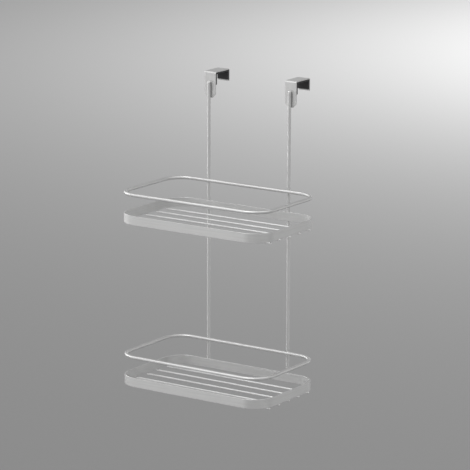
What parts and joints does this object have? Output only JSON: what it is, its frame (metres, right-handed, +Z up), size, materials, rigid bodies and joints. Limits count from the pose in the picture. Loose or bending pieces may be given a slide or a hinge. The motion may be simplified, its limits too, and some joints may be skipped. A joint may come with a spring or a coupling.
{
  "type": "shower caddy",
  "caption": "Two-tier hanging shower caddy: rounded band baskets with bar floors and wire rims on two rods with strap hooks that sit over a flat rail.",
  "frame": {"origin": "where the caddy rests on its rail: midway between the two hooks, halfway across the rail, on the plane of the rail's top face", "axes": "+Z up, along the uprights; +X along the rail and the long side of the baskets; the front of the caddy faces -Y"},
  "size_m": [0.25, 0.1916, 0.4413],
  "materials": {
    "stainless_steel": "satin brushed stainless steel",
    "rubber_liner": "matte dark grey rubber"
  },
  "bodies": {
    "root": {"left_hook_strap": "stainless_steel", "left_hook_liner": "rubber_liner", "left_upright": "stainless_steel", "right_hook_strap": "stainless_steel", "right_hook_liner": "rubber_liner", "right_upright": "stainless_steel", "upper_basket_band": "stainless_steel", "upper_basket_rim": "stainless_steel", "upper_floor_bar_1": "stainless_steel", "upper_floor_bar_2": "stainless_steel", "upper_floor_bar_3": "stainless_steel", "upper_floor_bar_4": "stainless_steel", "upper_floor_bar_5": "stainless_steel", "lower_basket_band": "stainless_steel", "lower_basket_rim": "stainless_steel", "lower_floor_bar_1": "stainless_steel", "lower_floor_bar_2": "stainless_steel", "lower_floor_bar_3": "stainless_steel", "lower_floor_bar_4": "stainless_steel", "lower_floor_bar_5": "stainless_steel"}
  },
  "joints": []
}
